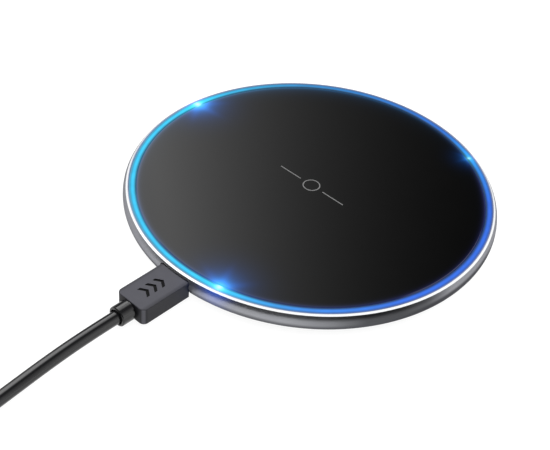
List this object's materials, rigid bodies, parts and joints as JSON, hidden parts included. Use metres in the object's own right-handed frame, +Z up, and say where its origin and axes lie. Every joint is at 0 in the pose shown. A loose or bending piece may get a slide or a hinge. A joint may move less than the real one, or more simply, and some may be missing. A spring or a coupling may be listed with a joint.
{
  "type": "wireless charging pad",
  "caption": "Round flat charging pad: black glass top with a lit ring, metal shell, rubber foot, and a plug-in USB lead that ends in a coil and a USB-A plug.",
  "frame": {"origin": "centre of the pad's underside, on the surface that it stands on", "axes": "+Z up out of the glass, the port and its lead leave towards -Y, +X to the right seen from the lead's side"},
  "size_m": [0.1049, 0.2238, 0.0078],
  "materials": {
    "black_glass": "polished black-backed cover glass",
    "adhesive": "black double-sided tape",
    "light_guide": "clear guide lit cyan to blue",
    "gunmetal_aluminium": "bead-blasted gunmetal with a bright cut chamfer",
    "cover_plastic": "fine spark-eroded texture",
    "foot_rubber": "matt silicone",
    "screw_steel": "black zinc",
    "board_laminate": "green solder mask",
    "led_white": "white body, clear lens",
    "chip_plastic": "moulded black epoxy",
    "capacitor_ceramic": "tan ceramic",
    "inductor_ferrite": "dark grey sintered ferrite",
    "contact_steel": "nickel plate",
    "insert_plastic": "black glass-filled nylon",
    "gold_contacts": "gold flash",
    "copper_wire": "enamelled copper",
    "carrier_plastic": "natural nylon",
    "thermal_silicone": "soft grey-blue",
    "sensor_glass": "amber glass bead",
    "plug_plastic": "dark grey satin thermoplastic",
    "cord_jacket": "smooth near-black jacket",
    "tie_plastic": "black strap",
    "usb_a_white": "white insulator"
  },
  "bodies": {
    "pad": {"top_glass": "black_glass", "glass_adhesive": "adhesive", "light_ring": "light_guide", "metal_shell": "gunmetal_aluminium", "bottom_cover": "cover_plastic", "foot_ring": "foot_rubber", "cover_screws": "screw_steel", "main_board": "board_laminate", "status_led_1": "led_white", "status_led_2": "led_white", "status_led_3": "led_white", "controller_chip": "chip_plastic", "bridge_transistors": "chip_plastic", "resonance_capacitors": "capacitor_ceramic", "crystal": "contact_steel", "chip_passives": "capacitor_ceramic", "buck_inductor": "inductor_ferrite", "input_capacitors": "contact_steel", "usb_receptacle_shell": "contact_steel", "receptacle_tongue": "insert_plastic", "receptacle_contacts": "gold_contacts", "transmit_coil": "copper_wire", "coil_leads": "copper_wire", "ferrite_plate": "inductor_ferrite", "coil_carrier": "carrier_plastic", "thermal_pad": "thermal_silicone", "thermistor": "sensor_glass"},
    "cable": {"pad_plug_body": "plug_plastic", "pad_plug_shell": "contact_steel", "pad_plug_insert": "insert_plastic", "pad_plug_contacts": "gold_contacts", "pad_plug_strain_relief": "cord_jacket", "cord_run": "cord_jacket", "cord_coil": "cord_jacket", "cord_tail": "cord_jacket", "coil_tie": "tie_plastic", "usb_a_body": "plug_plastic", "usb_a_shell": "contact_steel", "usb_a_insert": "usb_a_white", "usb_a_contacts": "gold_contacts", "usb_a_strain_relief": "cord_jacket"}
  },
  "joints": [
    {"name": "cable_unplug", "type": "slide", "parent": "pad", "child": "cable", "axis": [0, -1, 0], "range_m": [0, 0.012]}
  ]
}
